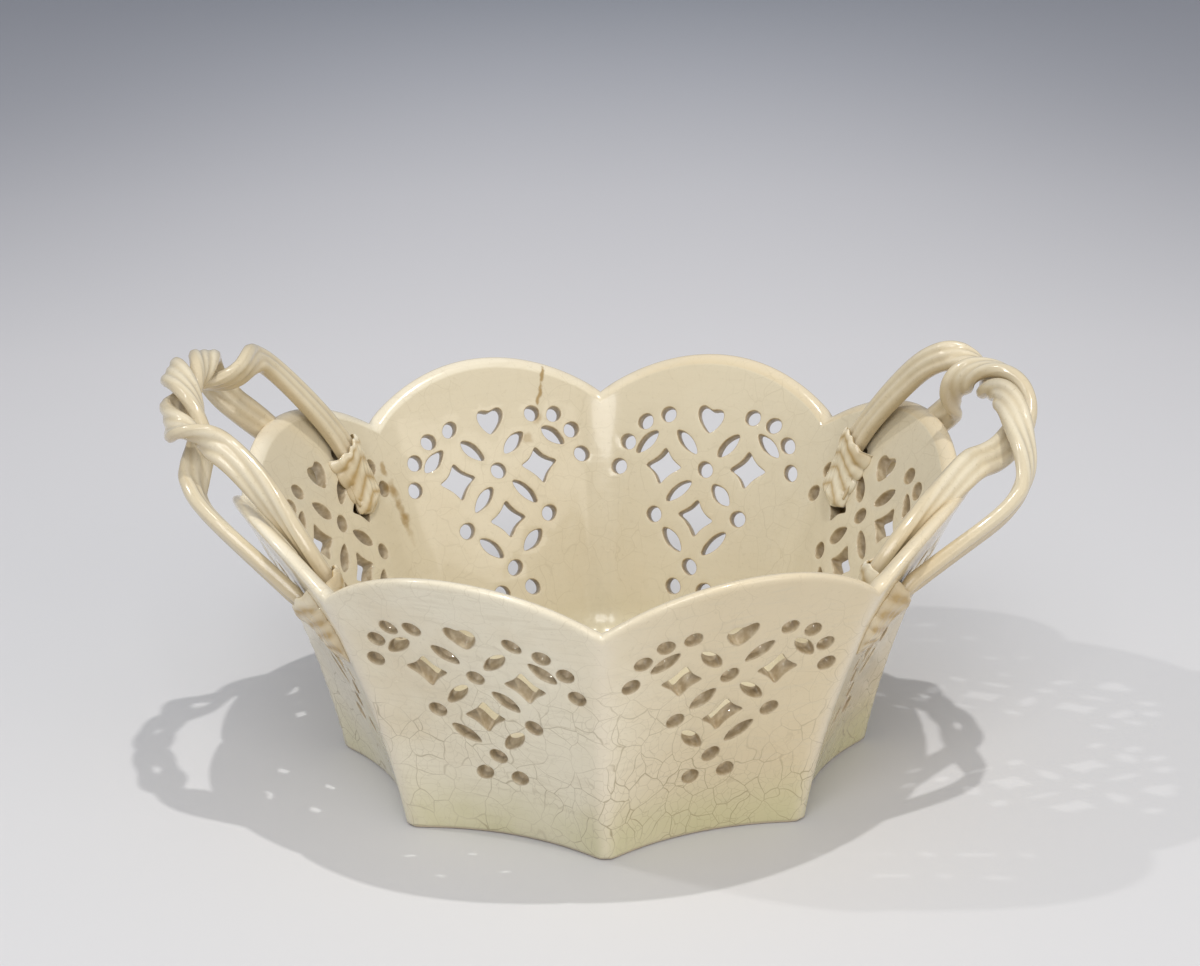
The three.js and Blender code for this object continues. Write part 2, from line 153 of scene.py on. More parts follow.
def closed_curve(start, bends, count):
    """Quadratic curves end to end, resampled at even steps of length. Two passes of a three-point
    mean then round the corners as glaze does."""
    t = np.linspace(0, 1, BEND_STEPS, endpoint=False)[:, None]
    here = start
    runs = []
    for control, there in bends:
        runs.append((1 - t) ** 2 * here + 2 * t * (1 - t) * control + t**2 * there)
        here = there
    line = np.vstack(runs + [runs[0][:1]])
    length = np.r_[0, np.cumsum(np.linalg.norm(np.diff(line, axis=0), axis=1))]
    even = np.linspace(0, length[-1], count, endpoint=False)
    points = np.stack([np.interp(even, length, line[:, i]) for i in (0, 1)], -1)
    for _ in range(SOFTENING):
        points = softened(points)
    return points


def punched_shapes():
    """Outlines of the four openings round their own middles, anticlockwise, +Y up the panel."""
    a = np.linspace(0, 2 * np.pi, DOT_POINTS, endpoint=False)
    tip = PETAL_LENGTH / 2 + PETAL_TIP
    petal = [((PETAL_WIDTH, 0), (0, tip)), ((-PETAL_WIDTH, 0), (0, -tip))]
    span = DIAMOND_SPAN / 2 + DIAMOND_TIP
    waist = DIAMOND_WAIST
    diamond = [
        ((-waist, waist), (-span, 0)),
        ((-waist, -waist), (0, -span)),
        ((waist, -waist), (span, 0)),
        ((waist, waist), (0, span)),
    ]
    w = HEART_WIDTH / 2
    h = HEART_HEIGHT / 2
    heart = [
        ((w, -0.2 * h), (w, 0.45 * h)),
        ((0.85 * w, 1.25 * h), (0, 0.6 * h)),
        ((-0.85 * w, 1.25 * h), (-w, 0.45 * h)),
        ((-w, -0.2 * h), (0, -h)),
    ]
    return {
        "dot": DOT_RADIUS * np.stack([np.cos(a), np.sin(a)], -1),
        "petal": closed_curve((0, -tip), petal, PETAL_POINTS),
        "diamond": closed_curve((0, span), diamond, DIAMOND_POINTS),
        "heart": closed_curve((0, -h), heart, HEART_POINTS),
    }


def pattern_places():
    """One panel's openings as (shape, across, up, turn), in millimetres from the middle dot."""
    lean = np.pi / 4
    places = [
        ("dot", 0, 0, 0),
        ("dot", 0, -2 * LATTICE, 0),
        ("diamond", 0, -LATTICE, 0),
        ("heart", 0, LATTICE, 0),
    ]
    for side in (-1, 1):
        places += [
            ("dot", side * LATTICE, -LATTICE, 0),
            ("dot", side * TRIO_WIDTH / 2, -2 * LATTICE - TRIO_DROP, 0),
            ("diamond", side * LATTICE, 0, 0),
            ("petal", side * LATTICE / 2, LATTICE / 2, -side * lean),
            ("petal", side * LATTICE / 2, -LATTICE / 2, side * lean),
            ("petal", side * LATTICE / 2, -1.5 * LATTICE, -side * lean),
            ("petal", side * WING_PETAL * LATTICE, LATTICE / 2, side * lean),
        ]
        for step in range(FAN_DOTS):
            a = step * np.pi / 6
            places.append(("dot", side * (LATTICE + FAN_RADIUS * np.sin(a)), FAN_RADIUS * np.cos(a), 0))
    return places


def panel_holes():
    """Each opening as rings of (s, z): the edge of its rounding and the cut itself, on the outer and
    on the inner face. The cut runs square to the wall, so the inner rings sit higher."""
    shapes = punched_shapes()
    holes = []
    for kind, u, v, turn in pattern_places():
        points = shapes[kind]
        tangent = np.roll(points, -1, 0) - np.roll(points, 1, 0)
        normal = unit(np.stack([tangent[:, 1], -tangent[:, 0]], -1))
        for _ in range(SOFTENING):
            normal = softened(normal)
        spin = np.array([[np.cos(turn), np.sin(turn)], [-np.sin(turn), np.cos(turn)]])
        middle = LATTICE_HEIGHT + v - PATTERN_SLOPE * u
        tilt = wall_normal(0, u / PANEL_REACH, middle, 0.0)[2]
        steep = np.sqrt(1 - tilt**2)
        rings = []
        for inset in (0.0, WALL):
            for grow in (CUT_EDGE, 0.0):
                local = (points + grow * normal) @ spin
                z = middle + steep * local[:, 1] - (inset * steep * tilt)
                s = (u + local[:, 0]) / ((arris_radius(z) - inset) * np.sin(HALF_PANEL))
                rings.append(np.stack([s, z], -1))
        holes.append(rings)
    return holes


def inside_ring(points, ring):
    """Even-odd rule: a ray to the right crosses the ring an odd number of times."""
    x, y = points[:, None, 0], points[:, None, 1]
    a, b = ring[None], np.roll(ring, -1, 0)[None]
    spans = (a[..., 1] > y) != (b[..., 1] > y)
    rise = np.where(b[..., 1] == a[..., 1], 1, b[..., 1] - a[..., 1])
    hit = a[..., 0] + (y - a[..., 1]) * (b[..., 0] - a[..., 0]) / rise
    return (spans & (x < hit)).sum(1) % 2 == 1


SIDE_STEPS = 32  # faces up each side of a panel
GRID_TOP = 84  # above the highest point of the rim
ROW_SHARE = 0.9  # spacing of the rows over the spacing in a row
CLEAR_OF_SIDE, CLEAR_OF_RIM, CLEAR_OF_HOLE = 1.0, 1.2, 0.62  # no grid point nearer than this


def pierced_sheet(bottom, top, rings, across_steps, pitch):
    """Triangles over one panel's (s, z) field, between a level bottom and the rim curve, with the
    rings left open. Across is in millimetres while the triangles are laid."""
    reach = PANEL_REACH
    s = np.linspace(-1, 1, across_steps + 1)
    rises = (top(1.0) - bottom) * np.linspace(0, 1, SIDE_STEPS + 1)[1:-1]
    right, left = (np.stack([np.full(SIDE_STEPS - 1, k * reach), bottom + rises], -1) for k in (1, -1))
    low = np.stack([s * reach, np.full_like(s, bottom)], -1)
    high = np.stack([s * reach, top(s)], -1)
    border = np.vstack([low, right, high[::-1], left[::-1]])
    rows = np.arange(bottom + pitch, GRID_TOP, pitch * ROW_SHARE)
    gx, gz = np.meshgrid(np.arange(-reach + pitch, reach, pitch), rows)
    gx = gx + pitch * 0.5 * (np.arange(gx.shape[0])[:, None] % 2)
    grid = np.stack([gx.ravel(), gz.ravel()], -1)
    under_rim = grid[:, 1] < top(grid[:, 0] / reach) - CLEAR_OF_RIM
    keep = (grid[:, 0] < reach - CLEAR_OF_SIDE) & under_rim
    loops = [ring * (reach, 1.0) for ring in rings]
    for loop in loops:
        gap = np.sqrt(((grid[:, None] - loop[None]) ** 2).sum(-1)).min(1)
        keep &= ~inside_ring(grid, loop) & (gap > CLEAR_OF_HOLE)
    edges = []
    total = 0
    for outline in [border] + loops:
        index = np.arange(len(outline)) + total
        edges.append(np.stack([index, np.roll(index, -1)], -1))
        total += len(outline)
    flat = np.vstack([border] + loops + [grid[keep]])
    corners = [Vector(p) for p in flat.tolist()]
    inside_only, same_place = 1, 1e-5
    found = geometry.delaunay_2d_cdt(corners, np.vstack(edges).tolist(), [], inside_only, same_place, False)
    tris = np.array(found[2])
    centre = flat[tris].mean(1)
    open_air = np.zeros(len(tris), bool)
    for loop in loops:
        open_air |= inside_ring(centre, loop)
    tris = tris[~open_air]
    a, b, c = flat[tris[:, 0]], flat[tris[:, 1]], flat[tris[:, 2]]
    clockwise = (b[:, 0] - a[:, 0]) * (c[:, 1] - a[:, 1]) < (b[:, 1] - a[:, 1]) * (c[:, 0] - a[:, 0])
    tris[clockwise] = tris[clockwise][:, ::-1]
    return flat / (reach, 1.0), tris


def strip_faces(rows, count, closed=True):
    """Quads between neighbouring rows of a grid whose columns go round, or run from side to side."""
    columns = count if closed else count - 1
    i, j = np.meshgrid(np.arange(rows - 1), np.arange(columns), indexing="ij")
    k = (j + 1) % count
    quads = np.stack([i * count + j, i * count + k, (i + 1) * count + k, (i + 1) * count + j], -1)
    return quads.reshape(-1, 4)


def as_triangles(quads):
    return np.vstack([quads[:, [0, 1, 2]], quads[:, [0, 2, 3]]])


def add_object(name, data):
    thing = bpy.data.objects.new(name, data)
    bpy.context.scene.collection.objects.link(thing)
    return thing


def add_mesh(name, points, faces):
    """A smooth mesh object from points in metres."""
    mesh = bpy.data.meshes.new(name)
    mesh.from_pydata(points.tolist(), [], faces.tolist())
    mesh.polygons.foreach_set("use_smooth", np.ones(len(mesh.polygons), bool))
    mesh.update()
    return add_object(name, mesh)


def make_piece(name, parts, attributes):
    """One closed object from (points, faces, {attribute: values}) parts in millimetres. Points that
    fall on the same thousandth are joined, and faces that lose their area there are dropped."""
    points = np.vstack([p for p, _, _ in parts])
    offsets = np.cumsum([0] + [len(p) for p, _, _ in parts[:-1]])
    tris = np.vstack([f + o for (_, f, _), o in zip(parts, offsets)])
    welded = np.round(points, 3)
    _, first, same = np.unique(welded, axis=0, return_index=True, return_inverse=True)
    tris = same.reshape(-1)[tris]
    keep = (tris[:, 0] != tris[:, 1]) & (tris[:, 1] != tris[:, 2]) & (tris[:, 2] != tris[:, 0])
    piece = add_mesh(name, points[first] / 1000, tris[keep])
    for key in attributes:
        values = np.concatenate([np.broadcast_to(a.get(key, 0.0), len(p)) for p, _, a in parts])
        layer = piece.data.attributes.new(key, "FLOAT", "POINT").data
        layer.foreach_set("value", values[first].astype(np.float32))
    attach(piece, "root")
    return piece


def outer_top(s):
    """Height at which the round lip begins."""
    return rim_height(s) - WALL / 2


ACROSS = 32  # faces across each panel along its border
PITCH = 2.2  # spacing of the points over a panel
COVE_TOP = FLOOR + COVE
holes = panel_holes()
body_parts = []
for inset, bottom, edge in ((0.0, FOOT_BEVEL, 0), (WALL, COVE_TOP, 2)):
    field, tris = pierced_sheet(bottom, outer_top, [rings[edge] for rings in holes], ACROSS, PITCH)
    if inset:
        tris = tris[:, ::-1]
    for panel in range(PANELS):
        s, z = hand_drift(panel, field[:, 0], field[:, 1])
        from_arris = (1 - np.abs(s)) * arris_radius(z) * np.sin(HALF_PANEL) / ARRIS_ROUNDING
        marks = {"inner": float(inset > 0), "arris": 0.0 if inset else np.exp(-(from_arris**2))}
        body_parts.append((wall_point(panel, s, z, inset), tris, marks))

QUARTER_TURN = np.linspace(0, np.pi / 2, 4)
CUT_SHARES = [0, 0.3, 0.7, 1]  # how much of a cut's tone each ring of its rounding has


def rounded_rows(cut, edge, into):
    """Rings round a quarter circle, from the edge on the wall's face to the cut, with into the way
    and the depth that it goes through the wall."""
    return [cut + (edge - cut) * (1 - np.sin(a)) + into * (1 - np.cos(a)) for a in QUARTER_TURN]


for panel in range(PANELS):
    for hole in holes:
        edge_out, cut_out, edge_in, cut_in = [
            wall_point(panel, *hand_drift(panel, ring[:, 0], ring[:, 1]), inset)
            for ring, inset in zip(hole, (0.0, 0.0, WALL, WALL))
        ]
        into = unit(cut_in - cut_out) * CUT_EDGE
        rows = rounded_rows(cut_out, edge_out, into) + rounded_rows(cut_in, edge_in, -into)[::-1]
        depth = np.repeat(CUT_SHARES + CUT_SHARES[::-1], len(cut_out))
        skin = as_triangles(strip_faces(len(rows), len(cut_out)))
        body_parts.append((np.vstack(rows), skin, {"cut": depth}))

stations = np.linspace(-1, 1, ACROSS + 1)
panel_index = np.repeat(np.arange(PANELS), ACROSS)
around = np.tile(stations[:-1], PANELS)
lip_turns = np.linspace(0, np.pi, 13)
lip_rows = [
    wall_point(panel_index, around, outer_top(around) + WALL / 2 * np.sin(a), WALL / 2 * (1 - np.cos(a)))
    for a in lip_turns
]
lip_value = np.repeat(np.sin(lip_turns), len(around))
lip_skin = as_triangles(strip_faces(len(lip_rows), len(around)))
body_parts.append((np.vstack(lip_rows), lip_skin, {"lip": lip_value}))

TOWARD_MIDDLE = (0.94, 0.8, 0.6, 0.4, 0.2, 0.08)  # rings of the floor, as shares of its outermost
foot_rows = [
    wall_point(panel_index, around, FOOT_BEVEL * (1 - np.sin(a)), FOOT_BEVEL * (1 - np.cos(a)))
    for a in np.linspace(0, np.pi / 2, 5)
]
floor_rows = [
    wall_point(panel_index, around, COVE_TOP - COVE * np.sin(a), WALL + COVE * (1 - np.cos(a)))
    for a in np.linspace(0, np.pi / 2, 7)
]
for rows, height, faces_down, marks in (
    (foot_rows, 0.0, True, {"bare": 1.0}),
    (floor_rows, FLOOR, False, {"inner": 1.0}),
):
    rows = rows + [rows[-1] * (share, share, 1) for share in TOWARD_MIDDLE]
    count = len(around)
    skin = as_triangles(strip_faces(len(rows), count))
    last = (len(rows) - 1) * count + np.arange(count)
    pole = np.full(count, len(rows) * count)
    tris = np.vstack([skin, np.stack([last, np.roll(last, -1), pole], -1)])
    if faces_down:
        tris = tris[:, ::-1]
    body_parts.append((np.vstack(rows + [[[0, 0, height]]]), tris, marks))

body = make_piece("pierced_body", body_parts, ("inner", "arris", "cut", "lip", "bare"))
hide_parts("basket_body")


def feed(made, inputs):
    """Links the inputs of a node that are given as sockets, and sets the others."""
    for key, value in inputs.items():
        if isinstance(value, bpy.types.NodeSocket):
            made.id_data.links.new(value, made.inputs[key])
        else:
            made.inputs[key].default_value = value


def node(kind, inputs, tree=None, **settings):
    """Adds a node, to the tree whose sockets feed it if no tree is given."""
    feeding = [value for value in inputs.values() if isinstance(value, bpy.types.NodeSocket)]
    made = (tree or feeding[0].id_data).nodes.new(kind)
    for key, value in settings.items():
        setattr(made, key, value)
    feed(made, inputs)
    return made


def maths(operation, a, b=0.0, clamp=False):
    return node("ShaderNodeMath", {0: a, 1: b}, operation=operation, use_clamp=clamp).outputs[0]


def times(a, b):
    return maths("MULTIPLY", a, b)


def vector(operation, a, b):
    """SCALE takes a number as its second value, and DOT_PRODUCT and DISTANCE give a number."""
    second = "Scale" if operation == "SCALE" else 1
    made = node("ShaderNodeVectorMath", {0: a, second: b}, operation=operation)
    return made.outputs["Value" if operation in ("DOT_PRODUCT", "DISTANCE") else "Vector"]


def noise(place, scale, detail, roughness=0.5, channel="Fac"):
    inputs = {"Vector": place, "Scale": scale, "Detail": detail, "Roughness": roughness}
    return node("ShaderNodeTexNoise", inputs).outputs[channel]


def sway(place, scale, detail, reach):
    """A vector from a noise, half as long as the reach at most along each axis."""
    colour = noise(place, scale, detail, channel="Color")
    return vector("SCALE", vector("SUBTRACT", colour, (0.5, 0.5, 0.5)), reach)


def remap(value, low, high, to_low=0.0, to_high=1.0):
    """A smooth step from one value at low to another at high, level beyond both."""
    inputs = {"Value": value, "From Min": low, "From Max": high, "To Min": to_low, "To Max": to_high}
    return node("ShaderNodeMapRange", inputs, interpolation_type="SMOOTHSTEP").outputs[0]


def mix_colour(share, a, b):
    return node("ShaderNodeMix", {0: share, 6: a, 7: b}, data_type="RGBA").outputs[2]


def tint(colour, tone, share, weight):
    """Lays a tone over a colour where share is high, at most by the weight."""
    return mix_colour(times(share, weight), colour, tone)


def new_group(name, inputs, outputs):
    """A node group and its two end nodes. Inputs are vectors, or numbers where a value is given, and
    outputs are numbers."""
    group = bpy.data.node_groups.new(name, "ShaderNodeTree")
    for key, value in inputs.items():
        kind = "NodeSocketVector" if value is None else "NodeSocketFloat"
        socket = group.interface.new_socket(name=key, in_out="INPUT", socket_type=kind)
        if value is not None:
            socket.default_value = value
    for key in outputs:
        group.interface.new_socket(name=key, in_out="OUTPUT", socket_type="NodeSocketFloat")
    return group, group.nodes.new("NodeGroupInput"), group.nodes.new("NodeGroupOutput")


CRACK_NETS = (  # cells per metre, half a crack's width in cells, strength, noise level that lets it in
    (155.0, 0.024, 1.0, 0.36),
    (430.0, 0.045, 0.5, 0.4),
)
CRACK_BEND = 0.0085  # metres that the noise moves a crack
CRACK_DRAW = (1.0, 1.0, 0.75)  # draws the cells out upwards
CRACK_FAINTEST, CRACK_FADE = 0.3, 0.22  # share of it under that level, and the rise to all of it
CRACK_DEPTH = 0.04  # against the height of the glaze's ripple


def crazing_group():
    """Cracks are the borders of bent Voronoi cells at two sizes, drawn out upwards as the wall was in
    the mould. A slow noise lets them fade in and out, and a second one mottles the colour."""
    outputs = ("Cracks", "Mottle", "Speck", "Height")
    group, start, end = new_group("crazed_glaze", {"Place": None, "Amount": 1.0}, outputs)
    place = start.outputs["Place"]
    bend = sway(place, 70.0, 2.0, CRACK_BEND)
    bent = vector("ADD", vector("MULTIPLY", place, CRACK_DRAW), bend)
    fade = noise(place, 42.0, 1.0)
    both = None
    for scale, width, strength, low in CRACK_NETS:
        inputs = {"Vector": bent, "Scale": scale, "Randomness": 1.0}
        cells = node("ShaderNodeTexVoronoi", inputs, feature="DISTANCE_TO_EDGE")
        line = remap(cells.outputs["Distance"], width, 0.0, 0.0, strength)
        line = times(line, remap(fade, low, low + CRACK_FADE, CRACK_FAINTEST, 1.0))
        both = line if both is None else maths("MAXIMUM", both, line)
    cracks = maths("MULTIPLY", both, start.outputs["Amount"], True)
    mottle = noise(place, 24.0, 4.0, 0.6)
    speck = noise(place, 900.0, 2.0)
    ripple = noise(place, 140.0, 2.0)
    height = maths("SUBTRACT", ripple, times(cracks, CRACK_DEPTH))
    speck = remap(speck, 0.62, 0.74)
    feed(end, {"Cracks": cracks, "Mottle": mottle, "Speck": speck, "Height": height})
    return group


CRAZING = crazing_group()
FRAY_REACH = 0.003  # metres that the noise moves a stain's edge


def stain_group():
    """A mark along a straight run: one at the line from Start to End and nothing beyond Radius, with
    a noise that frays its edge."""
    inputs = {"Place": None, "Start": None, "End": None, "Radius": 0.002}
    group, start, end = new_group("stain_along_line", inputs, ("Mark",))
    place, begin, finish, radius = (start.outputs[key] for key in inputs)
    frayed = vector("ADD", place, sway(place, 260.0, 3.0, FRAY_REACH))
    run = vector("SUBTRACT", finish, begin)
    away = vector("SUBTRACT", frayed, begin)
    squared = vector("DOT_PRODUCT", run, run)
    share = maths("DIVIDE", vector("DOT_PRODUCT", away, run), squared, True)
    gap = vector("DISTANCE", away, vector("SCALE", run, share))
    ratio = maths("DIVIDE", gap, radius)
    feed(end, {"Mark": remap(ratio, 1.0, 0.25)})
    return group


STAIN = stain_group()

CREAM = (0.85, 0.785, 0.62, 1)
THIN_CREAM = (0.86, 0.775, 0.63, 1)
DEEP_CREAM = (0.74, 0.64, 0.455, 1)
# Darker, warmer cream for painted shade on the right of the outside, where the light falls warmer.
WARM_SHADE_CREAM = (0.715, 0.595, 0.385, 1)
# Darker cream, painted as shade on the inside; the sponge streaks take it too.
INNER_CREAM = (0.655, 0.58, 0.425, 1)
POOLED_GREEN = (0.66, 0.63, 0.36, 1)
# Brown of the cut clay, darkened further with painted shade for the inside of the openings.
CUT_CLAY_AND_SHADE = (0.31, 0.215, 0.105, 1)
CRACK_DIRT = (0.36, 0.285, 0.16, 1)
FOOT_LINE = (0.27, 0.235, 0.11, 1)
BARE_CLAY = (0.62, 0.52, 0.38, 1)
AMBER = (0.35, 0.225, 0.07, 1)
ROSE_BROWN = (0.50, 0.30, 0.22, 1)
STAINS = [  # start, end and radius in metres, strength and tone
    ((-0.0157, 0.0925, 0.0808), (-0.0182, 0.0845, 0.0693), 0.0009, 0.85, AMBER),
    ((-0.0186, 0.0821, 0.0660), (-0.0187, 0.0818, 0.0650), 0.0022, 0.5, AMBER),
    ((-0.0210, 0.0781, 0.0606), (-0.0211, 0.0779, 0.0598), 0.0019, 0.45, AMBER),
    ((-0.0599, 0.0561, 0.0540), (-0.0542, 0.0534, 0.0372), 0.0021, 0.85, AMBER),
    ((-0.0560, 0.0549, 0.0446), (-0.0560, 0.0548, 0.0432), 0.0024, 0.8, AMBER),
    ((-0.0618, 0.0570, 0.0600), (-0.0600, 0.0562, 0.0500), 0.0014, 0.7, AMBER),
    ((0.0621, -0.0234, 0.0212), (0.0625, -0.0232, 0.0196), 0.0024, 0.55, ROSE_BROWN),
]


def new_material(name):
    """A material with its tree, its shader and the object's own coordinates."""
    material = bpy.data.materials.new(name)
    material.use_nodes = True
    tree = material.node_tree
    place = node("ShaderNodeTexCoord", {}, tree).outputs["Object"]
    return material, tree, tree.nodes["Principled BSDF"], place


def glaze_material(name):
    """The same, with a glaze's gloss on the shader and the crazing group in place."""
    material, tree, shader, place = new_material(name)
    feed(shader, {"IOR": 1.5, "Coat Weight": 0.35, "Coat Roughness": 0.05})
    crazing = node("ShaderNodeGroup", {"Place": place}, node_tree=CRAZING)
    return material, tree, shader, place, crazing


def attribute(tree, name):
    return node("ShaderNodeAttribute", {}, tree, attribute_name=name).outputs["Fac"]


def mottled_roughness(crazing, smooth, dull):
    """Roughness that follows the glaze's mottling from its low to its high places."""
    return remap(crazing.outputs["Mottle"], 0.3, 0.8, smooth, dull)


def finish_glaze(shader, colour, rough, height, depth):
    """Feeds the shader with the colour, the varying roughness and one bump."""
    bump = node("ShaderNodeBump", {"Height": height, "Strength": 1.0, "Distance": depth})
    feed(shader, {"Base Color": colour, "Roughness": rough, "Normal": bump.outputs[0]})


CRAZED_FROM, CRAZED_BELOW = 0.068, 0.02  # heights in metres between which crazing grows to its full
CRAZED_ANYWHERE, CRAZED_LOW_DOWN = 0.18, 0.55
# Painted shade: where the outside turns warmer and darker to the right.
WARM_FROM, WARM_BEYOND = -0.01, 0.03  # metres to the right, where the outside turns warmer
POOL_TOP, POOL_FULL = 0.022, 0.001  # heights in metres
LINE_TOP, LINE_FULL = 0.0014, 0.0003  # the same for the dark line at the foot
WIPING = (1.0, 1.0, 9.0)  # draws a noise out sideways, as the sponge went

body_glaze, tree, shader, place, crazing = glaze_material("crazed_cream_glaze")
apart_axes = node("ShaderNodeSeparateXYZ", {0: place})
height_up = apart_axes.outputs["Z"]
inner = attribute(tree, "inner")
outer = maths("SUBTRACT", 1.0, inner)
cut = attribute(tree, "cut")
low = times(remap(height_up, CRAZED_FROM, CRAZED_BELOW), outer)
crazed = maths("ADD", times(low, CRAZED_LOW_DOWN), CRAZED_ANYWHERE)
feed(crazing, {"Amount": crazed})
mottle = crazing.outputs["Mottle"]
colour = mix_colour(remap(mottle, 0.42, 0.8), CREAM, DEEP_CREAM)
# Painted shade: the outside goes warmer and darker towards the right.
toward_right = times(remap(apart_axes.outputs["X"], WARM_FROM, WARM_BEYOND), outer)
colour = tint(colour, WARM_SHADE_CREAM, toward_right, 0.8)
# Painted shade: the inside walls and floor are darker than the outside.
colour = tint(colour, INNER_CREAM, inner, 0.75)
wiped = noise(vector("MULTIPLY", place, WIPING), 85.0, 3.0)
colour = mix_colour(remap(wiped, 0.5, 0.72, 0.0, 0.3), colour, INNER_CREAM)
pool = times(remap(height_up, POOL_TOP, POOL_FULL), remap(mottle, 0.3, 0.6, 0.4, 1.0))
pool = times(pool, remap(inner, 0.0, 1.0, 0.75, 0.2))
colour = mix_colour(pool, colour, POOLED_GREEN)
colour = tint(colour, THIN_CREAM, attribute(tree, "lip"), 0.3)
colour = tint(colour, THIN_CREAM, attribute(tree, "arris"), 0.5)
colour = mix_colour(crazing.outputs["Cracks"], colour, CRACK_DIRT)
grain = noise(place, 520.0, 2.0)
# The cut walls: brown clay, made darker with painted shade inside the openings.
cut_clay_and_shade_tone = mix_colour(remap(grain, 0.3, 0.8, 0.0, 0.6), CUT_CLAY_AND_SHADE, DEEP_CREAM)
colour = tint(colour, cut_clay_and_shade_tone, remap(cut, 0.0, 0.55), 0.8)
for begin, finish, radius, strength, tone in STAINS:
    inputs = {"Place": place, "Start": begin, "End": finish, "Radius": radius}
    mark = node("ShaderNodeGroup", inputs, node_tree=STAIN).outputs["Mark"]
    colour = tint(colour, tone, mark, strength)
colour = tint(colour, FOOT_LINE, remap(height_up, LINE_TOP, LINE_FULL), 0.75)
colour = mix_colour(attribute(tree, "bare"), colour, BARE_CLAY)
colour = tint(colour, CRACK_DIRT, crazing.outputs["Speck"], 0.12)
rough = mottled_roughness(crazing, 0.14, 0.3)
rough = maths("ADD", rough, times(cut, 0.3))
rubbed = maths("ADD", crazing.outputs["Height"], times(wiped, 0.35))
relief = maths("ADD", rubbed, times(times(grain, cut), 1.2))
finish_glaze(shader, colour, rough, relief, 0.00012)
body.data.materials.append(body_glaze)


# The handles. Each is a pair of earthenware straps pressed in a reeded mould, wound over each other by
# hand and luted to the inner and outer faces of the side panels with slip. The glaze lies thin on the
# reeds and pools brown at the ends, and the undersides are painted browner as shade.
STRAP_WIDTH = 8.2
STRAP_THICKNESS = 4.2
REED_SHOWN = 0.33  # depth of the grooves between the reeds
EDGE_BLUNTNESS = 0.5  # an ellipse at 1, a flat block at 0
HANDLE_REACH = 12.0  # how far a crown stands out beyond the rim radius
HANDLE_SPAN = 60.0  # front to back, between the ends of the wound part
HANDLE_RISE = 34.0  # how high the taller crown stands above the notches
STRAP_SPREAD = 7.4  # from the handle's own line to each strap, where the two are apart
WOUND_FROM, WOUND_RUN = 0.22, 0.56  # where on that line the straps wind, as shares of it
WOUND_STATIONS = 25
TIGHT_SHARE = 0.55  # share of the run to each side that is wound tight
TIGHT_GAP = 1.35  # from the handle's own line to the face of each strap there
TWIST_TURNS = 1.5
TWIST_DELAY = 0.75  # the winding lags over the crown and catches up at the back
STRAP_RINGS = 64
FINE_STEPS = 3001  # for measuring along a strap
BEND_PASSES = 3  # rounds the arches where a strap leaves the wound part
BEND_EASE = 6  # further passes, outside the twist only
EASED_FROM, EASED_OVER = 0.28, 0.15  # where those set in, as shares of the way to an end
FRONT_ROOT = 10.0  # strap ends, from the front arris
BACK_ROOT = 18.0  # and from the back one
ROOT_DEPTH = 15.0  # how far below the notch height a strap ends
ROOT_POINTS = 4
OUTER_ROOT = (4.0, 0.8)  # how far below the notch height it leaves the wall, and its slant
INNER_ROOT = (-2.0, 0.2)  # slant is millimetres across for each one up
END_FLAT = 0.3  # share of its thickness that a strap keeps at its end
END_SPLAY = 1.55  # how many times wider it is there
SLIP = 0.35  # between a strap and the wall
POOLED_LENGTH = 38.0  # how far from its ends a strap is browner
WORN_SLOWLY, WORN_FINELY = 0.03, 0.02  # shares by which two waves along a strap vary its width
# Painted shade: a strap's faces are browner the more they turn down, as if in their own shadow.
UNDER_LEVEL, UNDER_GAIN = 0.25, 1.1  # brown of an upright face, and how fast it grows as it turns down
# Near the ends the brown of pooled glaze is laid on, and the painted underside shade adds to it.
ROOTED_BROWN, ROOTED_UNDER = 0.75, 0.4
HANDLES = {  # reach, y and rise are shares of the three lengths above, and angles are in degrees
    "left": {
        "side": -1,
        "ahead": 0.055,
        "front": {"reach": 0.375, "y": -0.5, "rise": 0.68, "lift": 52, "rolls": (-45, 45)},
        "crown": {"reach": 1.0, "y": 0.083, "rise": 1.0},
        "back": {"reach": 0.04, "y": 0.483, "rise": 0.744, "lift": 92, "rolls": (40, 0)},
    },
    "right": {
        "side": 1,
        "ahead": 0.0,
        "front": {"reach": 0.333, "y": -0.467, "rise": 0.412, "lift": 34, "rolls": (-40, 30)},
        "crown": {"reach": 0.96, "y": 0.033, "rise": 0.78},
        "back": {"reach": -0.083, "y": 0.467, "rise": 0.662, "lift": 82, "rolls": (10, 0)},
    },
}


def through_points(points, t):
    """Centripetal Catmull-Rom curve: between two points a cubic whose end slopes are weighted by the
    square roots of the neighbouring distances. t runs from 0 to 1 over the whole row of points."""
    ends = np.vstack([2 * points[0] - points[1], points, 2 * points[-1] - points[-2]])
    place = np.clip(t, 0, 1) * (len(points) - 1)
    k = np.minimum(place.astype(int), len(points) - 2)
    w = (place - k)[:, None]
    p0, p1, p2, p3 = ends[k], ends[k + 1], ends[k + 2], ends[k + 3]
    pairs = ((p0, p1), (p1, p2), (p2, p3))
    gaps = [np.sqrt(np.linalg.norm(b - a, axis=1, keepdims=True)) for a, b in pairs]
    tiny = 1e-4
    middle = np.where(gaps[1] < tiny, 1.0, gaps[1])
    before = np.where(gaps[0] < tiny, middle, gaps[0])
    after = np.where(gaps[2] < tiny, middle, gaps[2])
    start = ((p1 - p0) / before - (p2 - p0) / (before + middle) + (p2 - p1) / middle) * middle
    stop = ((p2 - p1) / middle - (p3 - p1) / (middle + after) + (p3 - p2) / after) * middle
    square = 3 * (p2 - p1) - 2 * start - stop
    cube = 2 * (p1 - p2) + start + stop
    return p1 + start * w + square * w**2 + cube * w**3


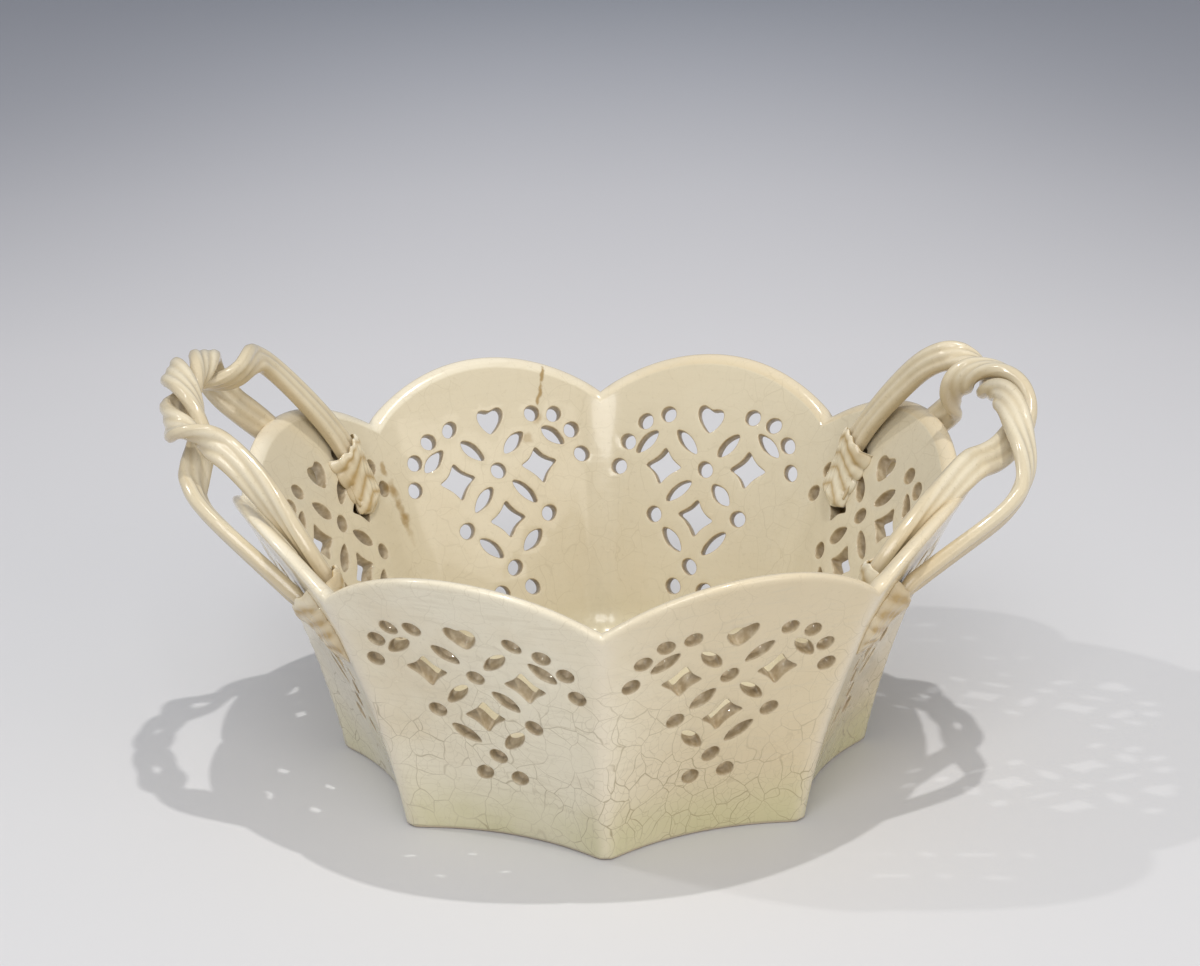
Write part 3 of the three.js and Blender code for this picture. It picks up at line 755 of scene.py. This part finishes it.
def directions(points, t):
    """Unit tangents of the curve through the points."""
    nudge = 1e-4
    return unit(through_points(points, t + nudge) - through_points(points, t - nudge))


def root_place(side, end, inside, z):
    """Side panel, and the place across it, where a strap lies at a height: a distance from the arris
    that grows in proportion to the height."""
    panel = int((PANELS - 1) / 2 - side * (PANELS / 4 - end / 2))
    slant = (INNER_ROOT if inside else OUTER_ROOT)[1]
    across = (FRONT_ROOT if end < 0 else BACK_ROOT) + slant * (z - NOTCH_HEIGHT + ROOT_DEPTH)
    return panel, side * end * (1 - across / (RIM_RADIUS * np.sin(HALF_PANEL)))


def smooth_step(x):
    """Three times the square less twice the cube, level below 0 and above 1."""
    x = np.clip(x, 0, 1)
    return x * x * (3 - 2 * x)


def pressed(along):
    """Share of its thickness that a strap keeps at a distance from its end, where a thumb has
    pressed it on to the wall: a smooth step to the power 1.5, from END_FLAT to one over the root's
    depth."""
    return END_FLAT + (1 - END_FLAT) * smooth_step(along / ROOT_DEPTH) ** 1.5


def strap_foot(side, end, inside):
    """Four points up the wall, off it by half the strap's thickness there, with the wall's normal."""
    root = INNER_ROOT if inside else OUTER_ROOT
    z = np.linspace(NOTCH_HEIGHT - ROOT_DEPTH, NOTCH_HEIGHT - root[0], ROOT_POINTS)
    panel, s = root_place(side, end, inside, z)
    inset = WALL if inside else 0.0
    normal = wall_normal(panel, s, z, inset)
    half = STRAP_THICKNESS / 2 * pressed((z - z[0]) * np.hypot(1, root[1]))
    off = (-1 if inside else 1) * (half + SLIP)
    return wall_point(panel, s, z, inset) + off[:, None] * normal, end * normal


def strap_line(handle, strap):
    """Centres and thin directions. The handle's own line goes from root to root over three stations,
    and each strap circles it: close in and turning through the middle, apart and untwisted near the
    ends. strap is 1 for the one that starts inside the basket at the front and -1 for its mate."""
    side, front, crown, back = (handle[k] for k in ("side", "front", "crown", "back"))
    roots = []
    for end in (-1, 1):
        panel, s = root_place(side, end, True, NOTCH_HEIGHT)
        roots.append(wall_point(panel, s, NOTCH_HEIGHT, WALL / 2))
    stations = [
        (
            side * (RIM_RADIUS + station["reach"] * HANDLE_REACH),
            station["y"] * HANDLE_SPAN,
            NOTCH_HEIGHT + station["rise"] * HANDLE_RISE,
        )
        for station in (front, crown, back)
    ]
    line = np.array([roots[0], *stations, roots[1]], float)
    u = WOUND_FROM + WOUND_RUN * np.linspace(0, 1, WOUND_STATIONS)
    at = through_points(line, u)
    along = directions(line, u)
    inward = -side * unit(np.stack([along[:, 1], -along[:, 0], 0 * u], -1))
    up = side * unit(np.cross(along, inward))
    begin = front["y"] - handle["ahead"]
    share = np.clip((at[:, 1] / HANDLE_SPAN - begin) / (back["y"] - begin), 0, 1)
    wound = share - TWIST_DELAY * share**2 * (1 - share)
    turned = -side * wound * TWIST_TURNS * 2 * np.pi
    lift = np.radians(front["lift"] + (back["lift"] - front["lift"]) * share)
    apart = smooth_step((np.abs(2 * share - 1) - TIGHT_SHARE) / (1 - TIGHT_SHARE))
    first = share < 0.5
    inside = (strap > 0) == first
    rolls = np.where(first[:, None], front["rolls"], back["rolls"])
    roll = np.radians(np.where(inside, rolls[:, 0], rolls[:, 1]))
    tight = STRAP_THICKNESS / 2 + TIGHT_GAP
    reach = strap * (tight + (STRAP_SPREAD - tight) * apart)
    winding = turned + lift
    centre, thin = (
        inward * np.cos(angle)[:, None] + up * np.sin(angle)[:, None]
        for angle in (winding, winding + (roll - lift) * apart)
    )
    centre = at + centre * reach[:, None]
    start, start_thin = strap_foot(side, -1, strap > 0)
    stop, stop_thin = strap_foot(side, 1, strap < 0)
    return np.vstack([start, centre, stop[::-1]]), np.vstack([start_thin, thin, stop_thin[::-1]])


def eased_line(centres, thins):
    """The same line at even steps of length, with its bends eased by a three-point mean, a few times
    more outside the twist. The straight ends on the wall stay put. Also gives the length."""
    t = np.linspace(0, 1, FINE_STEPS)
    fine = through_points(centres, t)
    length = np.r_[0, np.cumsum(np.linalg.norm(np.diff(fine, axis=0), axis=1))]
    t = np.interp(np.linspace(0, length[-1], STRAP_RINGS + 1), length, t)
    even = through_points(centres, t)
    fixed = int(np.ceil(ROOT_DEPTH * STRAP_RINGS / length[-1]))
    free = slice(fixed, STRAP_RINGS - fixed + 1)
    for _ in range(BEND_PASSES):
        even[free] = softened(even)[free]
    from_crown = np.abs(np.linspace(-1, 1, STRAP_RINGS + 1))
    aside = np.clip((from_crown - EASED_FROM) / EASED_OVER, 0, 1)[:, None]
    for _ in range(BEND_EASE):
        even[free] = (even + aside * (softened(even) - even))[free]
    return even, through_points(thins, t), length[-1]


def strap_parts(handle, strap, rows=300, count=56):
    """The reeded section carried along the strap. Across, the edge is a flattened ellipse, and three
    reeds stand between soft grooves on each broad face, which follow a squared sine. At both ends the
    section is pressed thin and spreads. The ends close on a point at their middle."""
    centres, thins, length = eased_line(*strap_line(handle, strap))
    t = np.linspace(0, 1, rows)
    at = through_points(centres, t)
    along = directions(centres, t)
    thin = through_points(thins, t)
    thin = unit(thin - (thin * along).sum(1, keepdims=True) * along)
    across = np.cross(along, thin)
    from_end = np.minimum(t, 1 - t) * length
    flat = pressed(from_end)
    a = np.linspace(0, 2 * np.pi, count, endpoint=False)
    x = np.cos(a)
    groove = np.sin(1.5 * np.pi * x) ** 2
    y = np.sign(np.sin(a)) * np.abs(np.sin(a)) ** EDGE_BLUNTNESS
    y = y * (1 - 2 * REED_SHOWN / STRAP_THICKNESS * groove)
    worn = 1 + WORN_SLOWLY * np.sin(17 * t + 2 * strap) + WORN_FINELY * np.sin(41 * t)
    splay = 1 + (END_SPLAY - 1) * (1 - flat) / (1 - END_FLAT)
    width = (STRAP_WIDTH / 2 * worn * splay)[:, None, None]
    thick = (STRAP_THICKNESS / 2 * (2 - worn) * flat)[:, None, None]
    rings = at[:, None] + across[:, None] * x[None, :, None] * width
    rings = rings + thin[:, None] * y[None, :, None] * thick
    tris = as_triangles(strip_faces(rows, count)[:, ::-1])
    first = np.arange(count)
    last = first + (rows - 1) * count
    caps = np.vstack([
        np.stack([first, np.roll(first, -1), np.full(count, rows * count)], -1),
        np.stack([np.roll(last, -1), last, np.full(count, rows * count + 1)], -1),
    ])
    points = np.vstack([rings.reshape(-1, 3), at[:1], at[-1:]])
    facing = across[:, None] * np.cos(a)[None, :, None] * 0.5 + thin[:, None] * np.sin(a)[None, :, None]
    # Painted shade on the faces that turn down.
    under = np.clip(UNDER_LEVEL - UNDER_GAIN * facing[..., 2], 0, 1)
    rooted = (ROOTED_BROWN * np.clip(1 - from_end / POOLED_LENGTH, 0, 1))[:, None]
    # The under mark holds painted shade on the undersides together with the pooled glaze at the ends.
    marks = {
        "groove": np.r_[np.tile(groove, rows), 0, 0],
        "under": np.r_[np.maximum(under, rooted + ROOTED_UNDER * under).reshape(-1), 1, 1],
    }
    return points, np.vstack([tris, caps]), marks


straps = []
for name, handle in HANDLES.items():
    for strap, end_name in ((1, "front"), (-1, "back")):
        part = strap_parts(handle, strap)
        piece = make_piece(f"{name}_{end_name}_reeded_strap", [part], ("groove", "under"))
        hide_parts(f"{name}_handle_{end_name}_strap")
        straps.append(piece)

STRAP_CREAM = (0.76, 0.685, 0.515, 1)
# Brown of the pooled glaze in the grooves and at the ends, also used as painted shade on the undersides.
POOL_AND_SHADE_BROWN = (0.47, 0.345, 0.17, 1)

strap_glaze, tree, shader, place, crazing = glaze_material("reeded_strap_glaze")
feed(crazing, {"Amount": 0.1})
groove = attribute(tree, "groove")
colour = mix_colour(remap(crazing.outputs["Mottle"], 0.35, 0.7), STRAP_CREAM, DEEP_CREAM)
colour = tint(colour, THIN_CREAM, remap(groove, 0.4, 0.0), 0.25)
colour = tint(colour, POOL_AND_SHADE_BROWN, remap(groove, 0.5, 1.0), 0.22)
# Painted shade on the undersides, with the pooled glaze at the ends, in one brown.
colour = tint(colour, POOL_AND_SHADE_BROWN, attribute(tree, "under"), 0.7)
colour = mix_colour(crazing.outputs["Cracks"], colour, CRACK_DIRT)
colour = tint(colour, CRACK_DIRT, crazing.outputs["Speck"], 0.22)
rough = mottled_roughness(crazing, 0.16, 0.32)
finish_glaze(shader, colour, rough, crazing.outputs["Height"], 0.0004)
for piece in straps:
    piece.data.materials.append(strap_glaze)


# The sprigs. A moulded, lobed leaf of the same clay is pressed over each strap end while both are wet,
# one inside and one outside the wall. Its top edge is left ragged, and the glaze pools amber in its
# veins.
LEAF_LENGTH = 18.0
LEAF_WIDTH = 17.0
LEAF_THICKNESS = 0.85
LEAF_BELOW_ROOT = 3.0  # its top, below where the strap leaves the wall
LEAF_FLARE = 0.35  # how far its top edge curls away from the strap
LEAF_OVER_STRAP = 0.8
LEAF_SUNK, LEAF_RAISED = 0.3, 0.15  # its underside below that arch and its hem above it
LEAF_OVERLAP = 0.6  # how far past the strap's end the leaf starts to lie down
LEAF_TAPER = 0.12
LEAF_TIP = 0.94  # share of its width lost at the tip
LOBES = 4.5
LOBE_BULGE = 0.14  # share of the width
LOBE_DRIFT = 0.12
LOBE_SLANT = 0.85  # lobes that a vein drops from the rib to the edge
VEIN_DEPTH = 0.09
RIB_HEIGHT = 0.2
RIB_REACH = 0.7
BLISTER = 0.11
RAGGED_WAVE, RAGGED_JAG, RAGGED_POINT = 0.7, 0.25, 0.2
NEAREST_ARRIS = 0.985  # share of half a panel


def leaf_parts(side, end, inside, rows=84, columns=57):
    """A grid over the leaf, down its length and across it. The height over the wall is an arch that
    clears the strap and lies down past its end, plus a low midrib, lobes between veins that slant down
    from it, and slow blisters, all levelled at the edges. The outline narrows by a power of the
    length and bulges at each lobe. The seed shifts the waves, so that no two leaves are alike."""
    root = INNER_ROOT if inside else OUTER_ROOT
    top = NOTCH_HEIGHT - root[0] - LEAF_BELOW_ROOT
    lean = np.arctan(root[1])
    inset = WALL if inside else 0.0
    outward = -1 if inside else 1
    covered = (top - NOTCH_HEIGHT + ROOT_DEPTH) / np.cos(lean)
    strap_end = (covered + LEAF_OVERLAP) / LEAF_LENGTH
    seed = 2.1 * side + 1.3 * end + 0.7 * inside
    down, x = np.meshgrid(np.linspace(0, 1, rows), np.linspace(-1, 1, columns), indexing="ij")
    past = np.clip((down - strap_end) / (1 - strap_end), 0, 1)
    phase = LOBES * down + LOBE_DRIFT * np.sin(7 * down + seed)
    bulge = 1 - LOBE_BULGE + LOBE_BULGE * np.abs(np.sin(np.pi * phase)) ** 0.6
    half = LEAF_WIDTH / 2 * bulge * (1 - LEAF_TAPER * down) * (1 - LEAF_TIP * past**1.5)
    points_up = np.abs(np.sin(2.5 * np.pi * x + seed)) ** 0.7
    ragged = RAGGED_WAVE * np.sin(3.1 * x + seed) + RAGGED_JAG * np.sin(17 * x + 2 * seed)
    ragged -= RAGGED_POINT * points_up
    fall = LEAF_LENGTH * down + ragged * (1 - down) ** 4
    middle = top - np.cos(lean) * fall
    panel, s = root_place(side, end, inside, middle)
    shift = x * half
    z = middle + side * end * np.sin(lean) * shift
    s = s + np.cos(lean) * shift / (RIM_RADIUS * np.sin(HALF_PANEL))
    s = np.clip(s, -NEAREST_ARRIS, NEAREST_ARRIS)
    hem = np.clip((1 - np.abs(x)) * 4, 0, 1)
    arch = np.clip(1 - np.abs(shift * 2 / LEAF_WIDTH) ** 2.5, 0, None) ** 1.15 * hem * (2 - hem)
    curl = LEAF_FLARE * np.clip(1 - 2 * down / strap_end, 0, None) ** 2
    strap_high = STRAP_THICKNESS * pressed(covered - LEAF_LENGTH * down) + LEAF_OVER_STRAP
    cover = (strap_high + curl) * (1 - smooth_step(past)) * arch
    rib = RIB_HEIGHT * np.exp(-((shift / RIB_REACH) ** 2)) * np.clip(down * 5, 0, 1)
    puff = np.abs(np.sin(np.pi * (phase - LOBE_SLANT * (np.abs(x) - 1)))) ** 0.8
    edge = np.clip((1 - np.abs(x)) * 6, 0, 1) * np.clip(down * 14, 0, 1) * np.clip((1 - down) * 10, 0, 1)
    blister = BLISTER * np.sin(2.3 * shift + seed) * np.sin(19 * down + 2 * seed)
    thick = LEAF_THICKNESS * (1 - 0.35 * down) + (rib + VEIN_DEPTH * (puff - 1) + blister) * edge
    normal = wall_normal(panel, s, z, inset)
    ground = wall_point(panel, s, z, inset)
    thick *= 0.15 + 0.85 * np.sqrt(edge)
    upper = ground + normal * (outward * (cover + LEAF_RAISED + thick))[..., None]
    lower = ground + normal * (outward * (cover - LEAF_SUNK))[..., None]
    quads = strip_faces(rows, columns, closed=False)
    flip = -1 if inside else 1
    top_faces = quads[:, ::-flip]
    under_faces = quads[:, ::flip] + rows * columns
    grid = np.arange(rows * columns).reshape(rows, columns)
    rim = np.concatenate([grid[0, :-1], grid[:-1, -1], grid[-1, :0:-1], grid[:0:-1, 0]])
    following = np.roll(rim, -1)
    hem_faces = np.stack([rim, following, following + rows * columns, rim + rows * columns], -1)[:, ::flip]
    veined = ((1 - puff) * edge).reshape(-1)
    marks = {"pool": np.r_[veined, np.ones_like(veined)]}
    points = np.vstack([upper.reshape(-1, 3), lower.reshape(-1, 3)])
    return points, as_triangles(np.vstack([top_faces, under_faces, hem_faces])), marks


leaves = []
for name, handle in HANDLES.items():
    for end, end_name in ((-1, "front"), (1, "back")):
        for inside, place in ((True, "inner"), (False, "outer")):
            part = leaf_parts(handle["side"], end, inside)
            piece = make_piece(f"{name}_{end_name}_{place}_sprig", [part], ("pool",))
            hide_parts(f"{name}_{end_name}_{place}_leaf")
            leaves.append(piece)

VEIN_AMBER = (0.43, 0.28, 0.09, 1)

leaf_glaze, tree, shader, place, crazing = glaze_material("pooled_sprig_glaze")
feed(crazing, {"Amount": 0.15})
mottle = crazing.outputs["Mottle"]
colour = mix_colour(remap(mottle, 0.35, 0.7), CREAM, DEEP_CREAM)
pooled = maths("ADD", attribute(tree, "pool"), remap(mottle, 0.42, 0.7, 0.0, 0.5), True)
colour = tint(colour, VEIN_AMBER, pooled, 0.85)
colour = mix_colour(crazing.outputs["Cracks"], colour, CRACK_DIRT)
colour = tint(colour, CRACK_DIRT, crazing.outputs["Speck"], 0.18)
rough = mottled_roughness(crazing, 0.16, 0.34)
finish_glaze(shader, colour, rough, crazing.outputs["Height"], 0.0004)
for piece in leaves:
    piece.data.materials.append(leaf_glaze)


# The studio. A pale paper sweep turns up behind, and painted shade darkens it into cool grey towards
# the back and the sides. Two small lamps far off, overhead and to the left, throw the crossing shadows,
# and two broad lights fill them. A long lens looks down at the front arris. Lengths here are in metres.
SWEEP_REACH = 5.0  # to the sides and to the front
BEND_START = 1.35
BEND_RADIUS = 0.6
SWEEP_TOP = 2.2


def paper_sweep():
    """A level sheet that turns up behind in a quarter circle and ends in an upright."""
    bend = np.linspace(0, np.pi / 2, 13)
    bent = BEND_START + BEND_RADIUS * np.sin(bend[1:])
    run = np.r_[[-SWEEP_REACH, BEND_START], bent, [BEND_START + BEND_RADIUS]]
    rise = np.r_[[0, 0], BEND_RADIUS * (1 - np.cos(bend[1:])), [SWEEP_TOP]]
    side = np.linspace(-SWEEP_REACH, SWEEP_REACH, 3)
    x, y = np.meshgrid(side, run, indexing="ij")
    z = np.broadcast_to(rise, y.shape)
    points = np.stack([x, y, z], -1).reshape(-1, 3)
    return add_mesh("pale_sweep", points, strip_faces(len(side), len(run), closed=False))


sweep = paper_sweep()

SHADE_RUN = 1.2  # from the basket's middle to the last shade
# Painted shade: the paper's colour darkens into cool grey towards the back and up the sweep.
SHADES = (  # share of that run and colour of the paper
    (0.05, (0.68, 0.685, 0.71)),
    (0.3, (0.67, 0.67, 0.70)),
    (0.52, (0.575, 0.58, 0.62)),
    (0.76, (0.425, 0.44, 0.49)),
    (1.0, (0.29, 0.31, 0.36)),
)
CORNER_SHADE = (0.24, 0.25, 0.29, 1)
paper, tree, shader, place = new_material("pale_paper")
back = node("ShaderNodeSeparateXYZ", {0: place}).outputs["Y"]
falloff = node("ShaderNodeValToRGB", {0: maths("DIVIDE", back, SHADE_RUN)})
stops = falloff.color_ramp.elements
stops[0].position, stops[1].position = SHADES[0][0], SHADES[-1][0]
for position, _ in SHADES[1:-1]:
    stops.new(position)
for stop, (_, shade) in zip(stops, SHADES):
    stop.color = (*shade, 1)
# Painted shade towards the sides and back corners.
aside = maths("ABSOLUTE", node("ShaderNodeSeparateXYZ", {0: place}).outputs["X"])
fading = times(remap(aside, 0.03, 0.4), remap(back, -0.1, 0.9))
shaded = tint(falloff.outputs[0], CORNER_SHADE, fading, 0.6)
feed(shader, {"Base Color": shaded, "Roughness": 0.55, "Specular IOR Level": 0.2})
sweep.data.materials.append(paper)


def lamp(name, place, target, energy, size, colour):
    """A round area light at place, turned so that its -Z axis points at target."""
    data = bpy.data.lights.new(name, "AREA")
    data.shape = "DISK"
    data.energy = energy
    data.size = size
    data.color = colour
    aim = (Vector(target) - Vector(place)).to_track_quat("-Z", "Y")
    add_object(name, data).matrix_world = Matrix.Translation(place) @ aim.to_matrix().to_4x4()


FOOT, WAIST = (0, 0, 0), (0, 0, 0.04)
lamp("overhead_lamp", (0.76, -0.33, 6.0), FOOT, 114.0, 0.13, (1.0, 0.97, 0.92))
lamp("left_lamp", (-4.1, 0.1, 4.3), FOOT, 50.0, 0.16, (1.0, 0.97, 0.93))
lamp("front_soft_light", (-0.15, -1.5, 1.6), WAIST, 13.5, 1.1, (1.0, 0.995, 0.99))
lamp("warm_fill", (1.2, -1.1, 0.6), WAIST, 6.0, 1.2, (1.0, 0.91, 0.78))

world = bpy.data.worlds.new("even_studio_air")
world.use_nodes = True
feed(world.node_tree.nodes["Background"], {"Color": (0.96, 0.975, 1.0, 1), "Strength": 0.45})
bpy.context.scene.world = world

VIEW_DISTANCE = 0.7292
VIEW_DOWN = np.radians(19.52)
VIEW_TURN = np.radians(-0.20)
VIEW_ROLL = np.radians(0.92)
AIM = (-0.00024, 0.0, 0.07392)
FOCAL_PIXELS, FRAME_PIXELS, SENSOR = 2800.1, 1200, 36.0
lens = bpy.data.cameras.new("long_lens")
lens.sensor_width = SENSOR
lens.lens = FOCAL_PIXELS * SENSOR / FRAME_PIXELS
camera = add_object("camera", lens)
turn = Matrix.Rotation(-VIEW_TURN, 4, "Z")
tilt = Matrix.Rotation(np.pi / 2 - VIEW_DOWN, 4, "X")
roll = Matrix.Rotation(-VIEW_ROLL, 4, "Z")
back_off = Matrix.Translation((0, 0, VIEW_DISTANCE))
camera.matrix_world = turn @ Matrix.Translation(AIM) @ tilt @ roll @ back_off
bpy.context.scene.camera = camera
bpy.context.scene.view_settings.view_transform = "Standard"
bpy.context.scene.view_settings.look = "None"
